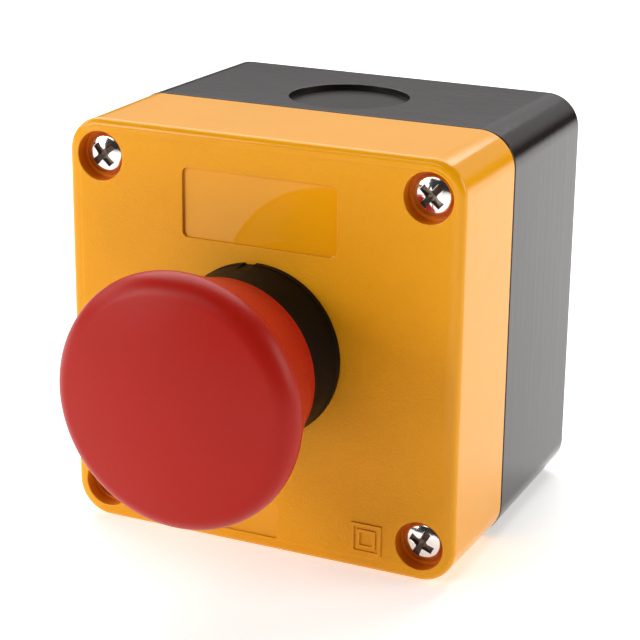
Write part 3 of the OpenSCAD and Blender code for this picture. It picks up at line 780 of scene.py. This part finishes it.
def cross_outline(arm, neck, tip, waist, shrink=0.0):
    """Quarter by quarter: an arm with a slightly flared square end and a rounded inner corner."""
    inner, bend, steps = neck - shrink, waist - neck, 6
    arm_points = [(arm - shrink, shrink - tip), (arm - shrink, tip - shrink), (waist, inner)]
    for k in range(1, steps):  # the rounded corner to the next arm
        t = math.pi / 2 * k / steps
        arm_points.append((inner + bend - bend * math.sin(t), inner + bend - bend * math.cos(t)))
    arm_points.append((inner, waist))
    return [p for q in range(4) for p in turned(arm_points, math.radians(90 * q))]


def head_height(x, y):
    """The height of a screw's domed head above its seat."""
    edge_r, dome_h = SCREW_HEAD_R - HEAD_CHAMFER, HEAD_H - SIDE_H
    dome_r = (edge_r ** 2 + dome_h ** 2) / (2 * dome_h)
    return HEAD_H - dome_r + math.sqrt(dome_r ** 2 - x * x - y * y)


def dome_triangles(mouth):
    """The dome between its edge and the mouth of the recess, with rings of points to keep it round."""
    edge_points, clear = 64, 0.12
    rings = ((SCREW_HEAD_R - HEAD_CHAMFER, edge_points), (2.75, 56), (2.5, 48))
    inner_rings = ((2.1, 40), (1.7, 32))
    arm, neck, tip, waist = MOUTH_CROSS
    keep_clear = cross_outline(arm + clear, neck + clear, tip + clear, waist + 0.1)
    flat = [p for r, k in rings for p in circle(r, steps=k)]
    start = len(flat)
    edges = [(i, (i + 1) % edge_points) for i in range(edge_points)]
    edges += [(start + i, start + (i + 1) % len(mouth)) for i in range(len(mouth))]
    flat += mouth
    flat += [p for r, k in inner_rings for p in circle(r, steps=k) if not inside(p, keep_clear)]
    out = geometry.delaunay_2d_cdt([Vector(p) for p in flat], edges, [], 0, 1e-5)
    for tri in out[2]:
        corners = [out[0][i] for i in tri]
        middle = (sum(p.x for p in corners) / 3, sum(p.y for p in corners) / 3)
        if not inside(middle, mouth):
            yield [(p.x, p.y, head_height(p.x, p.y)) for p in corners]


def build_recess(s, put, mouth):
    """A bright broken edge, steep walls, and arms that slope down to the middle."""
    def rim_at(shrink, drop):
        shrunk = cross_outline(*MOUTH_CROSS, shrink)
        return put([(x, y, head_height(*m) - drop) for (x, y), m in zip(shrunk, mouth)])

    rims = [rim_at(0, 0), rim_at(0.05, 0.03), rim_at(0.07, 0.09)]
    slope_h, slope_r = 0.4, 1.8
    deep = put([(x, y, HEAD_H - RECESS_DEPTH - slope_h * (1 - math.hypot(x, y) / slope_r))
                for x, y in cross_outline(*FLOOR_CROSS)])
    s.loft(rims[:2])
    # The walls and arms below the rim carry the recess's painted shade and painted warm reflection
    s.loft([*rims[1:], deep], RECESS_SHADE)
    middle = put([(0, 0, HEAD_H - MIDDLE_DEPTH)])[0]
    for i in range(len(deep)):
        s.face([deep[i], deep[(i + 1) % len(deep)], middle], RECESS_SHADE)


def build_shank(s, put):
    """The head's side and seat, and the shank, with its thread as rings."""
    side = [(SCREW_HEAD_R - HEAD_CHAMFER, SIDE_H), (SCREW_HEAD_R - 0.03, SIDE_H - 0.06),
            (SCREW_HEAD_R, SIDE_H - 0.16), (SCREW_HEAD_R, 0.12), (SCREW_HEAD_R - 0.12, 0)]
    head = [put(at_z(circle(r), z)) for r, z in side]
    s.loft(head)

    def ring(r, z):
        return put(at_z(circle(r, steps=32), z))

    shank = [ring(SHANK_R, 0), ring(SHANK_R, -PLAIN_LEN)]
    s.fill(head[-1], [shank[0]])
    tip_len, tip_r = 1.5, 0.35
    z = -PLAIN_LEN
    while z > tip_len - SHANK_LEN:
        shank += [ring(SHANK_R - THREAD_DEPTH, z - PITCH / 2), ring(SHANK_R, z - PITCH)]
        z -= PITCH
    shank.append(ring(tip_r, -SHANK_LEN))
    s.loft(shank)
    s.fill(shank[-1])


def build_screws():
    s = Shell()
    seat = FACE - BORE_DEPTH
    mouth = cross_outline(*MOUTH_CROSS)
    for centre in SCREWS:
        turn = math.radians(TURNS[centre])

        def put(points, centre=centre, turn=turn):
            """Points turned about a screw's axis and moved to its place, with z counted from its seat."""
            flat = turned([(x, y) for x, y, _ in points], turn)
            return [(centre[0] + x, centre[1] + y, seat + p[2]) for (x, y), p in zip(flat, points)]

        for triangle in dome_triangles(mouth):
            s.face(put(triangle))
        build_recess(s, put, mouth)
        build_shank(s, put)
    return s.piece("lid_screw_set", [plated, recess_metal_painted_shade], "station", "plated_steel", "lid_screws")


build_screws()

# ---- floor, backdrop, light and camera ----

FLOOR_Z = -BOX_H / 2 * MM


def stage_mesh(bm, name, material):
    mesh = bpy.data.meshes.new(name)
    bm.to_mesh(mesh)
    bm.free()
    mesh.materials.append(material)
    obj = bpy.data.objects.new(name, mesh)
    bpy.context.collection.objects.link(obj)
    return obj


def build_floor():
    bm = bmesh.new()
    half, steps = 6.0, 24  # metres
    across = [-half + 2 * half * i / steps for i in range(steps + 1)]
    grid = [[bm.verts.new((x, y, FLOOR_Z)) for x in across] for y in across]
    for low, high in zip(grid, grid[1:]):
        for i in range(steps):
            bm.faces.new([low[i], low[i + 1], high[i + 1], high[i]])
    pale = node_material("pale_floor", (0.92, 0.92, 0.92), 0.7,
                         Emission_Color=(1, 1, 1, 1), Emission_Strength=0.45)[0]
    stage_mesh(bm, "floor", pale)


def build_backdrop():
    """A pale dome that only the camera sees, so that the surroundings' light passes through it."""
    bm = bmesh.new()
    radius, turns, rises = 5.8, 48, 12  # metres, and the steps round and up
    rings = []
    for j in range(rises):
        up = math.pi / 2 * j / rises
        ring = circle(radius * math.cos(up), steps=turns)
        rings.append([bm.verts.new((x, y, FLOOR_Z + radius * math.sin(up))) for x, y in ring])
    for low, high in zip(rings, rings[1:]):
        for i in range(turns):
            bm.faces.new([low[i], low[(i + 1) % turns], high[(i + 1) % turns], high[i]])
    bm.faces.new(rings[-1])
    pale = node_material("pale_backdrop", (0, 0, 0), 1.0, Specular_IOR_Level=0.0,
                         Emission_Color=(1, 1, 1, 1), Emission_Strength=0.95)[0]
    dome = stage_mesh(bm, "backdrop", pale)
    for ray in ("diffuse", "glossy", "transmission", "volume_scatter", "shadow"):
        setattr(dome, "visible_" + ray, False)


build_floor()
build_backdrop()


LIGHTS_AIM = Vector((0, -0.03, 0))


def area_light(name, position, size, power, colour=(1, 1, 1)):
    """A rectangular light that faces the object; position and size are in metres, power in watts."""
    data = bpy.data.lights.new(name, "AREA")
    data.shape = "RECTANGLE"
    data.size, data.size_y = size
    data.energy = power
    data.color = colour
    light = bpy.data.objects.new(name, data)
    bpy.context.collection.objects.link(light)
    light.location = position
    light.rotation_euler = (LIGHTS_AIM - Vector(position)).to_track_quat("-Z", "Y").to_euler()
    light.visible_camera = False


area_light("top_behind", (-0.25, 0.50, 0.80), (1.2, 0.9), 13.5)
area_light("key_left", (-0.54, -0.69, 0.27), (0.35, 0.35), 2.9)
area_light("front_above", (-0.18, -0.72, 0.54), (0.35, 0.35), 1.0)
area_light("right_side", (0.75, 0.20, 0.28), (0.5, 0.45), 3.2, (1.0, 0.94, 0.82))


def build_world():
    """Dim surroundings with two soft glows above the horizon, one behind and one to the left."""
    world = bpy.data.worlds.new("studio")
    bpy.context.scene.world = world
    world.use_nodes = True
    tree = world.node_tree
    direction = tree.nodes.new("ShaderNodeTexCoord")
    split = tree.nodes.new("ShaderNodeSeparateXYZ")
    link(tree, direction.outputs["Generated"], split.inputs["Vector"])
    x, y, height = split.outputs
    bearing = arithmetic(tree, "ARCTAN2", x, y)  # 0 straight behind, positive to the right

    def span(value, low, high, blur, scale):
        rise = ranged(tree, value, 0, 1, (scale(low - blur), scale(low + blur)))
        fall = ranged(tree, value, 1, 0, (scale(high - blur), scale(high + blur)))
        return arithmetic(tree, "MULTIPLY", rise, fall)

    total, blur_up, blur_round = 0.03, 4, 12
    behind, left = ((10, 30), (-70, 70), 0.64), ((14, 34), (-140, -70), 2.4)
    for elevations, bearings, brightness in (behind, left):
        band = span(height, *elevations, blur_up, lambda degrees: math.sin(math.radians(degrees)))
        sector = span(bearing, *bearings, blur_round, math.radians)
        glow = arithmetic(tree, "MULTIPLY", arithmetic(tree, "MULTIPLY", band, sector), brightness)
        total = arithmetic(tree, "ADD", glow, total)
    link(tree, total, tree.nodes["Background"].inputs["Color"])


build_world()


def build_camera():
    data = bpy.data.cameras.new("camera")
    data.sensor_width, data.lens = 36, 112.52  # millimetres
    data.clip_start, data.clip_end = 0.01, 50
    camera = bpy.data.objects.new("camera", data)
    bpy.context.collection.objects.link(camera)
    spot, target = Vector((0.133657, -0.317584, 0.104600)), Vector((0.004317, -0.040, 0.001491))
    roll = Matrix.Rotation(math.radians(0.637), 3, "Z")
    turn = (target - spot).to_track_quat("-Z", "Y").to_matrix()
    camera.matrix_world = Matrix.Translation(spot) @ (turn @ roll).to_4x4()
    bpy.context.scene.camera = camera


build_camera()
bpy.context.scene.view_settings.view_transform = "Standard"
